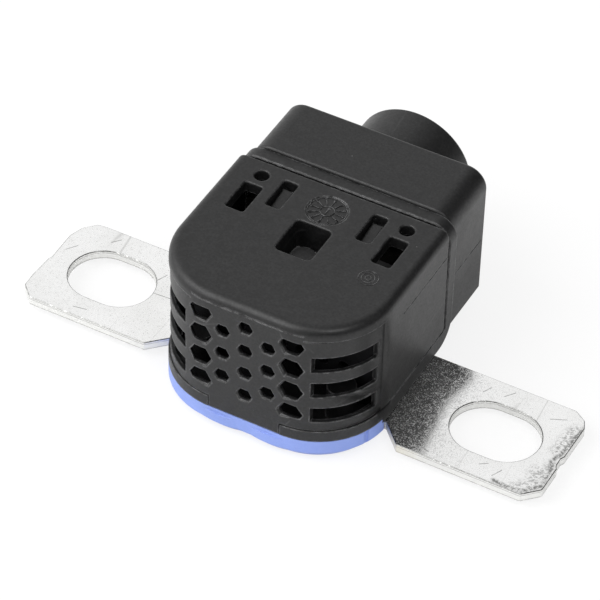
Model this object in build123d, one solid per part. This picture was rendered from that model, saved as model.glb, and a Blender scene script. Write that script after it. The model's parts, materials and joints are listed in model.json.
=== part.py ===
"""Battery disconnect fuse: a one-shot pyrotechnic switch on a flat tinned busbar.

An igniter lies along +Y in the rear housing. When it fires, its gas drives a cutter piston
towards -Y through the upright web of the busbar, into an arc chamber that vents through the
honeycomb and the corner slots of the front cover.

Frame: millimetres, +Z up, +X along the busbar, +Y out of the connector socket. The origin is
on the underside of the busbar, midway between its two bolt slots.
"""

import os
from math import cos, radians, sin, sqrt, tan

from build123d import *

# Busbar
BAR_LENGTH = 90.0
BAR_WIDTH = 20.0
BAR_THICK = 1.6
SLOT_END_MARGIN = 4.2
SLOT_LENGTH = 14.4
SLOT_WIDTH = 11.2
TAB_CHAMFER = 2.6
NECK_DEPTH = 3.4
NECK_START = 21.9
WEB_SIDE_GAP = 2.6
WEB_TOP = 20.8
WEB_LEG_INNER = 7.2
BRIDGE_HEIGHT = 9.6
BREAK_GROOVE_X = 5.6
BREAK_GROOVE_WIDTH = 1.0
BREAK_GROOVE_DEPTH = 0.6
BEND_INNER_R = 1.0
RELIEF_WIDTH = 0.8

# Outside form of the housing
BODY_HALF = 18.2
FRONT_Y = -17.75
CORNER_R = 12.2
SEAM_ROOM = 3.0
PLATE_THICK = 2.2
BLOCK_DEPTH = 12.1
COVER_TOP = 25.2
BLOCK_TOP = 25.75
RIM_TOP = 4.6
PARTING_Z = BAR_THICK + 0.15
BASE_BOTTOM = -1.6
DRAFT = 0.3
SEAM_CHAMFER = 0.2
SEAM_GAP = 0.1
SEAM_OPEN = 0.35
FIT = 0.15
OVERRUN = 1.0
DRAFT_RUN = 6.0

# Front vent cover
COVER_WALL = 1.2
TOP_WALL = 2.0
TOP_ROUND = 1.5
TONGUE_THICK = 1.0
TONGUE_OVERLAP = 0.8
APRON_HALF = 6.0
APRON_OVERLAP = 0.8
PARTING_LINE = 0.15
FRONT_LINE_HALF = 9.5
FRONT_LINE_Z = 23.8
SIDE_LINE_Z = 20.1
SIDE_LINE_START = -2.0
RECESS_DEPTH = 0.35
RECESS_TOP = 22.8
RECESS_END_Y = -7.6
RECESS_BLEND = 1.6
SKIN = 0.5
HEX_PITCH_X = 3.85
HEX_PITCH_Z = 4.56
HEX_LOW_Z = 7.7
HEX_SMALL = 2.15
HEX_LARGE = 3.35
HEX_LARGE_CUT = 0.8
HEX_FLARE = 0.2
HEX_BACK_TAPER = 35.0
VENT_SLOTS = 3
VENT_SLOT_HEIGHT = 2.95
VENT_SLOT_PITCH = 5.15
VENT_SLOT_LOW_Z = 7.95
VENT_SLOT_INNER_X = 10.6
VENT_SLOT_END_Y = -8.4
VENT_SLOT_ROUND = 0.3
VENT_SILL_TAPER = 38.0

# Openings in the top of the cover
PORT_SIDE = 5.75
PORT_Y = 4.1
PORT_SIZE = (3.1, 6.3)
LATCH_SIDE = 10.5
LATCH_Y = 7.35
LATCH_SIZE = (2.4, 6.3)
PINHOLE_Y = 9.6
PINHOLE_R = 1.15
POCKET_SIZE = (6.0, 7.4)
POCKET_DEPTH = 5.4
POCKET_WALL = 1.2
POCKET_BOSS_R = 1.95
POCKET_BOSS_DROP = 3.2
PORT_CORNER_R = 0.4
PORT_EDGE_R = 0.3
CLOCK_Y = 7.5
CLOCK_R = 3.3
CLOCK_DEPTH = 0.15

# Frame housing behind and under the cover
FLOOR_THICK = 1.4
RIM_THICK = 0.8
PLATE_TOP_R = 3.3
HEEL_R = 4.0
HOOK_THICK = 1.3
HOOK_RISE = 1.3
HOOK_FALL = 0.7
HOOK_LENGTH = 5.3
HOOK_ROUND = 0.4
SCREW_SIDE = 6.0
SCREW_FRONT_GAP = 3.0
SCREW_SEAM_GAP = 0.5
SCREW_BOSS_R = 2.3
SCREW_BOSS_TOP = 9.0
SCREW_BOSS_ROOF = 0.8

# Blue base cover
LIP_TOP = 2.5
LIP_BOTTOM = 0.1
LIP_THICK = 1.2
LIP_END_GAP = 0.6
BASE_TAPER = 40.0
BASE_FLOOR_GAP = 0.1
BASE_REAR_HALF = 14.8
BASE_TAIL = 1.9
LOBE_CUSP_INSET = 0.35
LOBE_PROUD = 0.3
LOBE_CREST_SHARE = 0.7
LOBE_END_SHARE = 1.5
LOBE_END_INSET = 0.25
LOBE_NOTCH = (4.0, 1.0)
LOCK_STEP = 0.2
HEAD_SINK = 0.2
KEY_ANGLE = 24.0
KEY_R = 0.4

# Screws
SCREW_R = 1.25
THREAD_CLEAR = 0.05
SCREW_LENGTH = 7.6
HEAD_R = 2.2
HEAD_HEIGHT = 1.3
DRIVE_R = 0.95
DRIVE_DEPTH = 0.8

# Rear housing and connector hood
BLOCK_HALF = 17.3
BLOCK_BOTTOM = 2.2
BLOCK_SIDE_R = 3.4
BLOCK_EDGE_R = 0.7
BLOCK_NOSE_R = 0.5
BLOCK_LINE_Z = 12.4
AXIS_Z = 12.8
HOOD_R = 9.9
HOOD_LENGTH = 10.1
HOOD_WALL = 1.5
HOOD_EDGE_R = 0.5
SOCKET_EXTRA = 0.3
RETAINER_BORE_R = 6.4
KEYWAY_WIDTH = 2.0
KEYWAY_DEPTH = 0.8

# Igniter, from its front cup to its pins
IGNITER_SETBACK = 0.4
CUP_R = 3.4
CUP_WALL = 0.3
CUP_LENGTH = 4.6
HEADER_R = 3.0
HEADER_THICK = 1.6
IGNITER_FLANGE_R = 5.6
IGNITER_FLANGE_THICK = 2.2
IGNITER_NECK_R = 4.4
IGNITER_REACH = 6.5
PIN_R = 0.5
PIN_SPACING = 2.54
PIN_LENGTH = 8.6
SEAL_WIRE_R = 0.5

# Piston, its cylinder and the anvil
PISTON_R = 4.4
PISTON_LENGTH = 2.9
PISTON_NOSE = 0.5
PISTON_SEAL_WIRE_R = 0.45
SLEEVE_WALL = 1.0
SLEEVE_BAR_GAP = 0.25
ANVIL_THICK = 3.0
ANVIL_HALF = 11.6
ANVIL_MARGIN = 0.6
ANVIL_HEIGHT = 15.2
ANVIL_CORNER_R = 1.0

# Baffle behind the grille
BAFFLE_Y = -6.4
BAFFLE_THICK = 0.8
BAFFLE_SIDE_GAP = 0.3
BAFFLE_TOP_GAP = 0.3
BAFFLE_HOLE_R = 1.0
BAFFLE_PITCH = 3.6
BAFFLE_COLUMNS = 7
BAFFLE_ROWS = 5

# Connector retainer and its shorting clip
RETAINER_LENGTH = 5.1
RETAINER_WALL = 1.2
RETAINER_FLOOR = 0.9
CLIP_THICK = 0.3
CLIP_FINGER = 0.9
CLIP_DROP = 3.2
CLIP_END_ROOM = 1.0
CLIP_TAIL_DROP = 0.9
CLIP_ROOT = 1.2

# Worked out from the sizes above
BAR_REAR_Y = BAR_WIDTH / 2
SEAM_Y = BAR_REAR_Y + SEAM_ROOM
PLATE_BACK_Y = SEAM_Y + PLATE_THICK
REAR_Y = PLATE_BACK_Y + BLOCK_DEPTH
SOCKET_FLOOR_Y = REAR_Y - SOCKET_EXTRA
IGNITER_FRONT_Y = SEAM_Y + IGNITER_SETBACK
IGNITER_BACK_Y = PLATE_BACK_Y + IGNITER_REACH
SLEEVE_FRONT_Y = BAR_REAR_Y + SLEEVE_BAR_GAP
BASE_REAR_Y = SEAM_Y + BASE_TAIL
SCREW_REAR_Y = SEAM_Y - SCREW_SEAM_GAP
SLOT_SPACING = BAR_LENGTH - 2 * SLOT_END_MARGIN - SLOT_LENGTH
WEB_HALF = BODY_HALF - COVER_WALL - WEB_SIDE_GAP
PORT_X = BODY_HALF - PORT_SIDE
LATCH_X = BODY_HALF - LATCH_SIDE
SCREW_X = BODY_HALF - SCREW_SIDE
CORNER_X = BODY_HALF - CORNER_R
COVER_LOW = RIM_TOP + SEAM_GAP
TOP_LEAN = (COVER_TOP - COVER_LOW) * tan(radians(DRAFT))
TONGUE_INSET = RIM_THICK + FIT + TONGUE_THICK
APRON_LOW = LIP_TOP + 2 * SEAM_GAP
COVER_REAR = SEAM_Y - SEAM_OPEN
CEILING_Z = COVER_TOP - TOP_WALL
FLOOR_TOP = PARTING_Z + FLOOR_THICK
NECK_Y = -BAR_WIDTH / 2 + NECK_DEPTH
SCREW_FRONT_Y = NECK_Y - SCREW_FRONT_GAP
LIP_END_Y = NECK_Y - LIP_END_GAP
WEB_FRONT = BAR_REAR_Y - BAR_THICK
BRIDGE_LOW = AXIS_Z - BRIDGE_HEIGHT / 2
SLEEVE_R = PISTON_R + FIT + SLEEVE_WALL
HOOD_BORE_R = HOOD_R - HOOD_WALL


def outline(inset, rear):
    """The plan outline of the body moved in by an inset: square at the rear, round in front."""
    half, front = BODY_HALF - inset, FRONT_Y + inset
    face = box_face(-half, half, front, rear)
    return fillet(face.vertices().group_by(Axis.Y)[0], min(CORNER_R - inset, half - PARTING_LINE))


def band(outer, inner, rear):
    """The plan strip between two insets of the outline."""
    return outline(outer, rear) - outline(inner, rear + OVERRUN)


def outline_y(x):
    """Where the body's front outline lies at a distance from the centre plane."""
    along = abs(x) - CORNER_X
    return FRONT_Y + CORNER_R - sqrt(CORNER_R**2 - max(along, 0) ** 2)


def box_between(x0, x1, y0, y1, z0, z1):
    """An axis-aligned box given by its limits."""
    return Pos((x0 + x1) / 2, (y0 + y1) / 2, (z0 + z1) / 2) * Box(x1 - x0, y1 - y0, z1 - z0)


def box_face(x0, x1, y0, y1):
    """A plan rectangle given by its limits."""
    return Pos((x0 + x1) / 2, (y0 + y1) / 2) * Rectangle(x1 - x0, y1 - y0)


def drum(radius, y0, y1, x=0.0, z=AXIS_Z):
    """A cylinder along Y between two stations of the igniter axis."""
    plane = Plane(origin=(x, y0, z), x_dir=(1, 0, 0), z_dir=(0, 1, 0))
    return extrude(plane * Circle(radius), y1 - y0)


def post(radius, x, y, z0, z1):
    """A cylinder along Z."""
    return extrude(Pos(x, y, z0) * Circle(radius), z1 - z0)


def well(size, x, y, z0, z1, corner):
    """A rounded rectangular prism along Z, for the openings in the top."""
    return extrude(Pos(x, y, z0) * RectangleRounded(size[0], size[1], corner), z1 - z0)


def mirrored(solid):
    """A solid and its mirror image across the centre plane."""
    return solid + mirror(solid, about=Plane.YZ)


def screw_spots():
    """Plan places of the four base screws."""
    return [(side * SCREW_X, y) for side in (-1, 1) for y in (SCREW_FRONT_Y, SCREW_REAR_Y)]


def busbar():
    """The bar: two slotted tabs joined by an upright web that the piston cuts."""
    half, wide = BAR_LENGTH / 2, BAR_WIDTH / 2
    tab = Polyline(
        (WEB_LEG_INNER, wide), (half - TAB_CHAMFER, wide), (half, wide - TAB_CHAMFER),
        (half, -wide + TAB_CHAMFER), (half - TAB_CHAMFER, -wide), (NECK_START, -wide),
        (NECK_START - NECK_DEPTH, NECK_Y), (WEB_LEG_INNER, NECK_Y), close=True,
    )
    face = make_face(tab) - Pos(SLOT_SPACING / 2, 0) * SlotOverall(SLOT_LENGTH, SLOT_WIDTH)
    flat = extrude(face, BAR_THICK)
    outer_r = BEND_INNER_R + BAR_THICK
    fold_start = wide - outer_r
    flat -= box_between(
        0, WEB_HALF + RELIEF_WIDTH, fold_start, wide + OVERRUN, -OVERRUN, BAR_THICK + OVERRUN
    )
    bend_plane = Plane(origin=(WEB_LEG_INNER, fold_start, outer_r), x_dir=(0, 1, 0), z_dir=(1, 0, 0))
    ring = Circle(outer_r) - Circle(BEND_INNER_R)
    quarter = bend_plane * (ring & Pos(outer_r / 2, -outer_r / 2) * Rectangle(outer_r, outer_r))
    bend = extrude(quarter, WEB_HALF - WEB_LEG_INNER)
    leg = box_between(WEB_LEG_INNER, WEB_HALF, WEB_FRONT, wide, outer_r, WEB_TOP)
    side = flat + bend + leg
    bridge_top = BRIDGE_LOW + BRIDGE_HEIGHT
    bridge = box_between(-WEB_LEG_INNER, WEB_LEG_INNER, WEB_FRONT, wide, BRIDGE_LOW, bridge_top)
    for x in (-BREAK_GROOVE_X, BREAK_GROOVE_X):
        bridge -= box_between(
            x - BREAK_GROOVE_WIDTH / 2, x + BREAK_GROOVE_WIDTH / 2,
            WEB_FRONT - OVERRUN, WEB_FRONT + BREAK_GROOVE_DEPTH, BRIDGE_LOW - OVERRUN, bridge_top + OVERRUN,
        )
    return mirrored(side) + bridge


def honeycomb():
    """Cutting prisms of the grille: small cells in the middle, large clipped cells outside."""
    cells = []
    rows = {0: [0, 1, 2, 3], 1: [0.5, 1.5, 2.5], 2: [0, 1, 2, 3]}
    for column, steps in rows.items():
        across = HEX_LARGE if column == 2 else HEX_SMALL
        face_y = outline_y(column * HEX_PITCH_X)
        for step in steps:
            z = HEX_LOW_Z + step * HEX_PITCH_Z
            cell = Pos(0, z) * RegularPolygon(across / 2, 6, major_radius=False)
            if column == 2 and step in (0, 3):
                shift = -HEX_LARGE_CUT if step == 3 else HEX_LARGE_CUT
                cell &= Pos(0, z + shift) * Rectangle(2 * across, across)
            for x in {column * HEX_PITCH_X, -column * HEX_PITCH_X}:
                cells.append(extrude(face_plane(x, face_y + HEX_FLARE) * cell, -COVER_WALL))
                cells.append(extrude(face_plane(x, face_y + HEX_FLARE) * cell, 2 * HEX_FLARE, taper=-45))
                back = face_plane(x, face_y + TOP_LEAN + SKIN) * cell
                cells.append(extrude(back, -COVER_WALL, taper=-HEX_BACK_TAPER))
    return cells


def face_plane(x, y):
    """An upright plane across the front that faces outwards."""
    return Plane(origin=(x, y, 0), x_dir=(1, 0, 0), z_dir=(0, -1, 0))


def corner_slots():
    """Cutting prisms of the louvre slots round the two front corners, with hidden sloping sills."""
    cuts = []
    length = VENT_SLOT_END_Y - FRONT_Y + 2 * VENT_SLOT_HEIGHT
    drop = (COVER_WALL - SKIN) / tan(radians(VENT_SILL_TAPER))
    for number in range(VENT_SLOTS):
        z = VENT_SLOT_LOW_Z + number * VENT_SLOT_PITCH
        low = z - VENT_SLOT_HEIGHT / 2
        origin = (VENT_SLOT_INNER_X, VENT_SLOT_END_Y - length / 2, z)
        plane = Plane(origin=origin, x_dir=(0, 1, 0), z_dir=(1, 0, 0))
        slot = extrude(plane * RectangleRounded(length, VENT_SLOT_HEIGHT, VENT_SLOT_ROUND), BODY_HALF)
        sill = extrude(Pos(0, 0, low + SKIN) * outline(SKIN, 0), -drop - SKIN, taper=VENT_SILL_TAPER)
        sill &= box_between(VENT_SLOT_INNER_X, BODY_HALF, FRONT_Y, VENT_SLOT_END_Y, 0, z)
        cuts.append(mirrored(slot + sill))
    return cuts


def corner_recess():
    """The shallow recess that the slots lie in: nothing at the front, deepest along the side."""
    floor = BODY_HALF - RECESS_DEPTH
    far = BODY_HALF + OVERRUN
    shape = outline(-OVERRUN, 0) - Pos(-RECESS_DEPTH, 0) * outline(0, OVERRUN)
    shape &= box_face(CORNER_X, far, FRONT_Y - OVERRUN, RECESS_END_Y)
    shape += make_face(Polyline(
        (floor, RECESS_END_Y), (far, RECESS_END_Y), (far, RECESS_END_Y + RECESS_BLEND),
        (BODY_HALF, RECESS_END_Y + RECESS_BLEND), close=True,
    ))
    return mirrored(extrude(Pos(0, 0, RIM_TOP) * shape, RECESS_TOP - RIM_TOP))


def parting_lines():
    """Cutting strips of the fine mould lines: over the grille, over the slots and along the sides."""
    ring = band(-OVERRUN, TOP_LEAN + PARTING_LINE, 0)
    front = ring & box_face(-FRONT_LINE_HALF, FRONT_LINE_HALF, FRONT_Y - OVERRUN, 0)
    corner = ring & box_face(FRONT_LINE_HALF, BODY_HALF + OVERRUN, FRONT_Y - OVERRUN, RECESS_END_Y)
    inside = BODY_HALF - TOP_LEAN - PARTING_LINE
    side = box_face(inside, BODY_HALF + OVERRUN, SIDE_LINE_START, SEAM_Y)
    return (
        extrude(Pos(0, 0, FRONT_LINE_Z) * front, PARTING_LINE)
        + mirrored(extrude(Pos(0, 0, RECESS_TOP) * corner, PARTING_LINE))
        + mirrored(extrude(Pos(0, 0, SIDE_LINE_Z) * side, PARTING_LINE))
    )


def apron(inset, reach, low):
    """The stretch of front wall that drops past the tray's rim, or the notch that it drops into."""
    shape = band(-inset, COVER_WALL + inset, 0) & box_face(-reach, reach, FRONT_Y - OVERRUN, 0)
    return extrude(Pos(0, 0, low) * shape, RIM_TOP + APRON_OVERLAP - low)


def top_openings():
    """The ports, latch slots, pinholes and pocket that go down through the top."""
    above, below = COVER_TOP + OVERRUN, CEILING_Z - OVERRUN
    cutters = [well(POCKET_SIZE, 0, 0, COVER_TOP - POCKET_DEPTH, above, 2 * PORT_CORNER_R)]
    for side in (-1, 1):
        cutters.append(well(PORT_SIZE, side * PORT_X, PORT_Y, below, above, PORT_CORNER_R))
        cutters.append(well(LATCH_SIZE, side * LATCH_X, LATCH_Y, below, above, PORT_CORNER_R))
        cutters.append(post(PINHOLE_R, side * PORT_X, PINHOLE_Y, below, above))
    return cutters


def vent_cover():
    """The front cover: a drafted shell with the honeycomb, the slots and the top openings."""
    long_rear = COVER_REAR + DRAFT_RUN
    body = extrude(Pos(0, 0, COVER_LOW) * outline(0, long_rear), COVER_TOP - COVER_LOW, taper=DRAFT)
    body -= box_between(
        -2 * BODY_HALF, 2 * BODY_HALF, COVER_REAR, long_rear + OVERRUN, 0, COVER_TOP + OVERRUN
    )
    lid = body.faces().sort_by(Axis.Z)[-1]
    rim_edges = [edge for edge in lid.edges() if edge.center().Y < COVER_REAR - PARTING_LINE]
    body = fillet(rim_edges, TOP_ROUND)
    foot = body.faces().sort_by(Axis.Z)[0]
    front_foot = [edge for edge in foot.edges() if edge.center().Y < COVER_REAR - PARTING_LINE]
    body = chamfer(front_foot, SEAM_CHAMFER)
    back = body.faces().sort_by(Axis.Y)[-1]
    body = chamfer([edge for edge in back.edges() if edge.center().Z > COVER_LOW + OVERRUN], SEAM_CHAMFER)
    inner = extrude(
        Pos(0, 0, COVER_LOW - PARTING_LINE) * outline(COVER_WALL, long_rear),
        CEILING_Z - COVER_LOW + PARTING_LINE, taper=DRAFT,
    )
    tongue = extrude(
        Pos(0, 0, FLOOR_TOP + FIT) * band(RIM_THICK + FIT, TONGUE_INSET, COVER_REAR),
        COVER_LOW - FLOOR_TOP - FIT + TONGUE_OVERLAP,
    )
    pocket_box = well(
        (POCKET_SIZE[0] + 2 * POCKET_WALL, POCKET_SIZE[1] + 2 * POCKET_WALL),
        0, 0, COVER_TOP - POCKET_DEPTH - POCKET_WALL, CEILING_Z + TOP_WALL / 2, PORT_CORNER_R,
    )
    body = body - inner + tongue + pocket_box + apron(0, APRON_HALF, APRON_LOW)
    body -= corner_recess()
    body -= parting_lines()
    body -= top_openings()
    rims = [edge for wire in body.faces().sort_by(Axis.Z)[-1].inner_wires() for edge in wire.edges()]
    body = fillet(rims, PORT_EDGE_R)
    body -= post(CLOCK_R, 0, CLOCK_Y, COVER_TOP - CLOCK_DEPTH, COVER_TOP + OVERRUN)
    body -= honeycomb()
    body -= corner_slots()
    boss_foot = COVER_TOP - POCKET_DEPTH - POCKET_WALL / 2
    return body + post(POCKET_BOSS_R, 0, 0, boss_foot, COVER_TOP - POCKET_BOSS_DROP)


def latch_hook(x):
    """One snap arm of the frame with its rounded, sloping barb, seen through the latch slot."""
    width = LATCH_SIZE[0] - 2 * FIT
    top = CEILING_Z - FIT
    front = LATCH_Y - LATCH_SIZE[1] / 2 + FIT
    root = SEAM_Y + PLATE_THICK / 2
    arm = box_between(x - width / 2, x + width / 2, front, root, top - HOOK_THICK, top)
    plane = Plane(origin=(x - width / 2, 0, 0), x_dir=(0, 1, 0), z_dir=(1, 0, 0))
    foot = top - HOOK_THICK / 2
    barb = extrude(plane * make_face(Polyline(
        (front, foot), (front + HOOK_LENGTH, foot), (front + HOOK_LENGTH, top + HOOK_RISE),
        (front, top + HOOK_RISE - HOOK_FALL), close=True,
    )), width)
    crest = barb.faces().sort_by(Axis.Z)[-1]
    return arm + fillet(crest.edges(), HOOK_ROUND)


def frame_housing():
    """The frame: an upright plate and a rimmed tray that carries the cover and clamps the bar."""
    tray = extrude(Pos(0, 0, PARTING_Z) * outline(0, PLATE_BACK_Y), RIM_TOP - PARTING_Z)
    tray -= extrude(Pos(0, 0, FLOOR_TOP) * outline(RIM_THICK, SEAM_Y), RIM_TOP)
    profile = Pos(0, (PARTING_Z + COVER_TOP) / 2) * Rectangle(2 * BODY_HALF, COVER_TOP - PARTING_Z)
    profile = fillet(profile.vertices().group_by(Axis.Y)[-1], PLATE_TOP_R)
    plane = Plane(origin=(0, SEAM_Y, 0), x_dir=(1, 0, 0), z_dir=(0, -1, 0))
    plate = extrude(plane * profile, -PLATE_THICK)
    face = plate.faces().sort_by(Axis.Y)[0]
    plate = chamfer([edge for edge in face.edges() if edge.center().Z > RIM_TOP + OVERRUN], SEAM_CHAMFER)
    solid = tray + plate
    heel = solid.faces().sort_by(Axis.Y)[-1].edges().sort_by(Axis.Z)[0]
    solid = fillet(heel, HEEL_R)
    solid -= drum(SLEEVE_R + FIT, SEAM_Y - OVERRUN, PLATE_BACK_Y + OVERRUN)
    solid -= lip_ring(PARTING_Z - OVERRUN, LIP_TOP + SEAM_GAP, LIP_THICK + SEAM_GAP, SEAM_GAP)
    solid -= apron(FIT, APRON_HALF + FIT, APRON_LOW - SEAM_GAP)
    solid -= box_between(
        -WEB_HALF - FIT, WEB_HALF + FIT, BAR_REAR_Y - BEND_INNER_R - BAR_THICK - FIT, BAR_REAR_Y + FIT,
        PARTING_Z - OVERRUN, FLOOR_TOP + OVERRUN,
    )
    for x, y in screw_spots():
        solid += post(SCREW_BOSS_R, x, y, PARTING_Z, SCREW_BOSS_TOP)
    for side in (-1, 1):
        solid += latch_hook(side * LATCH_X)
    for x, y in screw_spots():
        solid -= post(SCREW_R + THREAD_CLEAR, x, y, PARTING_Z - OVERRUN, SCREW_BOSS_TOP - SCREW_BOSS_ROOF)
    return solid


def lip_ring(low, high, thick, outside):
    """The band along the rounded front of the tray that the base's lip fills."""
    shape = band(-outside, thick, BAR_WIDTH / 2)
    shape -= box_face(-2 * BODY_HALF, 2 * BODY_HALF, LIP_END_Y, BAR_WIDTH)
    return extrude(Pos(0, 0, low) * shape, high - low)


def key_spots():
    """Plan places of the two key grooves on the base's rounded corners."""
    x = CORNER_X + CORNER_R * cos(radians(KEY_ANGLE))
    y = FRONT_Y + CORNER_R - CORNER_R * sin(radians(KEY_ANGLE))
    return [(side * x, y) for side in (-1, 1)]


def base_plan():
    """The outline of the base: the tray's rounded front with two lobes, and a narrower rear."""
    front = outline(0, BAR_REAR_Y)
    rear = box_face(-BASE_REAR_HALF, BASE_REAR_HALF, 0, BASE_REAR_Y)
    cusp = (0, FRONT_Y + LOBE_CUSP_INSET)
    crest = (LOBE_CREST_SHARE * CORNER_X, FRONT_Y - LOBE_PROUD)
    end_x = LOBE_END_SHARE * CORNER_X
    end = (end_x, outline_y(end_x) + LOBE_END_INSET)
    lobe = make_face([ThreePointArc(cusp, crest, end), Polyline(end, (end_x, 0), (0, 0), cusp)])
    wide, deep = LOBE_NOTCH
    notch = make_face(Polyline(cusp, (-wide, FRONT_Y - deep), (wide, FRONT_Y - deep), close=True))
    return front + lobe + mirror(lobe, about=Plane.YZ) + rear - notch


def base_cover():
    """The blue cover under the bar, with a channel for it and four screw wells."""
    top = PARTING_Z
    plan = base_plan()
    solid = extrude(Pos(0, 0, LIP_BOTTOM) * plan, top - LIP_BOTTOM)
    solid += extrude(Pos(0, 0, LIP_BOTTOM) * plan, BASE_BOTTOM - LIP_BOTTOM, taper=BASE_TAPER)
    solid -= box_between(
        -2 * BODY_HALF, 2 * BODY_HALF, NECK_Y - FIT, BAR_REAR_Y + FIT, -BASE_FLOOR_GAP, top + 1
    )
    solid += lip_ring(LIP_BOTTOM, LIP_TOP, LIP_THICK, 0)
    lock = WEB_LEG_INNER - FIT
    solid += box_between(
        -lock, lock, NECK_Y - OVERRUN, BAR_REAR_Y + OVERRUN, -BASE_FLOOR_GAP - LOCK_STEP, top
    )
    for x, y in key_spots():
        solid -= post(KEY_R, x, y, BASE_BOTTOM - OVERRUN, LIP_TOP + OVERRUN)
    for x, y in screw_spots():
        solid -= post(SCREW_R + FIT, x, y, BASE_BOTTOM - OVERRUN, top + OVERRUN)
        solid -= post(HEAD_R + FIT, x, y, BASE_BOTTOM - OVERRUN, BASE_BOTTOM + HEAD_HEIGHT + HEAD_SINK)
    return solid


def base_screws():
    """Four thread-forming screws that clamp the base to the frame."""
    seat = BASE_BOTTOM + HEAD_HEIGHT + HEAD_SINK
    screws = []
    for x, y in screw_spots():
        screw = post(HEAD_R, x, y, seat - HEAD_HEIGHT, seat) + post(SCREW_R, x, y, seat, seat + SCREW_LENGTH)
        socket = extrude(Pos(x, y, seat - HEAD_HEIGHT) * RegularPolygon(DRIVE_R, 6), DRIVE_DEPTH)
        screws.append(screw - socket)
    return screws


def rear_housing():
    """The rear moulding: the igniter block and the round connector hood."""
    front = PLATE_BACK_Y
    block = box_between(-BLOCK_HALF, BLOCK_HALF, front, REAR_Y, BLOCK_BOTTOM, BLOCK_TOP)
    long_edges = block.edges().filter_by(Axis.Y).group_by(Axis.Z)[-1]
    block = fillet(long_edges, BLOCK_SIDE_R)
    back = block.faces().sort_by(Axis.Y)[-1]
    block = fillet(back.edges(), BLOCK_EDGE_R)
    nose = block.faces().sort_by(Axis.Y)[0]
    upper = [edge for edge in nose.edges() if edge.center().Z > BLOCK_BOTTOM + OVERRUN]
    block = fillet(upper, BLOCK_NOSE_R)
    line = box_between(BLOCK_HALF - PARTING_LINE, BLOCK_HALF + OVERRUN, front, REAR_Y, 0, PARTING_LINE)
    block -= mirrored(Pos(0, 0, BLOCK_LINE_Z) * line)
    hood = drum(HOOD_R, REAR_Y - OVERRUN, REAR_Y + HOOD_LENGTH)
    mouth = hood.faces().sort_by(Axis.Y)[-1]
    hood = fillet(mouth.edges(), HOOD_EDGE_R)
    solid = block + hood
    solid -= drum(HOOD_BORE_R, SOCKET_FLOOR_Y, REAR_Y + HOOD_LENGTH + OVERRUN)
    solid -= drum(RETAINER_BORE_R, IGNITER_BACK_Y, SOCKET_FLOOR_Y + OVERRUN)
    solid -= drum(IGNITER_NECK_R + FIT, front - OVERRUN, IGNITER_BACK_Y + OVERRUN)
    solid -= drum(IGNITER_FLANGE_R + FIT, front - OVERRUN, igniter_stations()[2] + SEAM_GAP / 2)
    for side in (-1, 1):
        solid -= box_between(
            side * HOOD_BORE_R - KEYWAY_DEPTH, side * HOOD_BORE_R + KEYWAY_DEPTH,
            SOCKET_FLOOR_Y, REAR_Y + HOOD_LENGTH + OVERRUN,
            AXIS_Z - KEYWAY_WIDTH / 2, AXIS_Z + KEYWAY_WIDTH / 2,
        )
    return solid


def igniter_stations():
    """Y stations of the igniter: cup front, cup back, flange back."""
    cup_back = IGNITER_FRONT_Y + CUP_LENGTH
    return IGNITER_FRONT_Y, cup_back, cup_back + IGNITER_FLANGE_THICK


def igniter_cup():
    """The drawn metal cup that holds the charge."""
    front, back, _ = igniter_stations()
    return drum(CUP_R, front, back) - drum(CUP_R - CUP_WALL, front + CUP_WALL, back + OVERRUN)


def igniter_charge():
    """The sealed charge inside the cup."""
    front, back, _ = igniter_stations()
    return drum(CUP_R - CUP_WALL - SEAM_GAP / 2, front + CUP_WALL, back - HEADER_THICK)


def pin_spots():
    """X places of the two contact pins."""
    return (-PIN_SPACING / 2, PIN_SPACING / 2)


def igniter_header():
    """The glass-sealed header that closes the cup round the pins."""
    _, back, _ = igniter_stations()
    disc = drum(HEADER_R, back - HEADER_THICK, back)
    for x in pin_spots():
        disc -= drum(PIN_R, back - HEADER_THICK - OVERRUN, back + OVERRUN, x=x)
    return disc


def contact_pins():
    """Two gold-plated pins from the header into the connector."""
    _, back, _ = igniter_stations()
    return [drum(PIN_R, back - HEADER_THICK, back + PIN_LENGTH, x=x) for x in pin_spots()]


def igniter_body():
    """The moulded body behind the cup, with the flange that the retainer clamps."""
    _, back, flange_back = igniter_stations()
    body = drum(IGNITER_FLANGE_R, back, flange_back) + drum(IGNITER_NECK_R, flange_back - 0.5, IGNITER_BACK_Y)
    for x in pin_spots():
        body -= drum(PIN_R, back - OVERRUN, IGNITER_BACK_Y + OVERRUN, x=x)
    return body


def ring(inner, outer, y0, y1):
    """A flat ring on the igniter axis."""
    return drum(outer, y0, y1) - drum(inner, y0 - OVERRUN, y1 + OVERRUN)


def seal_ring(inner, wire, y):
    """An O-ring of round section on the igniter axis."""
    return Pos(0, y, AXIS_Z) * Rot(90, 0, 0) * Torus(inner + wire, wire)


def cylinder_sleeve():
    """The steel cylinder that guides the piston through the frame plate."""
    return ring(PISTON_R + FIT, SLEEVE_R, SLEEVE_FRONT_Y, PLATE_BACK_Y + SEAM_GAP)


def cutter_piston():
    """The driven piston: a grooved plug with a short bevelled nose against the web."""
    front = BAR_REAR_Y + FIT
    body = drum(PISTON_R, front, front + PISTON_LENGTH)
    nose = body.faces().sort_by(Axis.Y)[0]
    body = chamfer(nose.edges(), PISTON_NOSE)
    wire = PISTON_SEAL_WIRE_R
    middle = front + PISTON_LENGTH / 2 + PISTON_NOSE / 2
    room = SEAM_GAP / 2
    floor = PISTON_R + FIT - 2 * (wire + room)
    return body - ring(floor, PISTON_R + OVERRUN, middle - wire - room, middle + wire + room)


def piston_seal():
    """The O-ring in the piston's groove."""
    wire = PISTON_SEAL_WIRE_R
    middle = BAR_REAR_Y + FIT + PISTON_LENGTH / 2 + PISTON_NOSE / 2
    return seal_ring(PISTON_R + FIT - 2 * wire - SEAM_GAP / 2, wire, middle)


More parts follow.
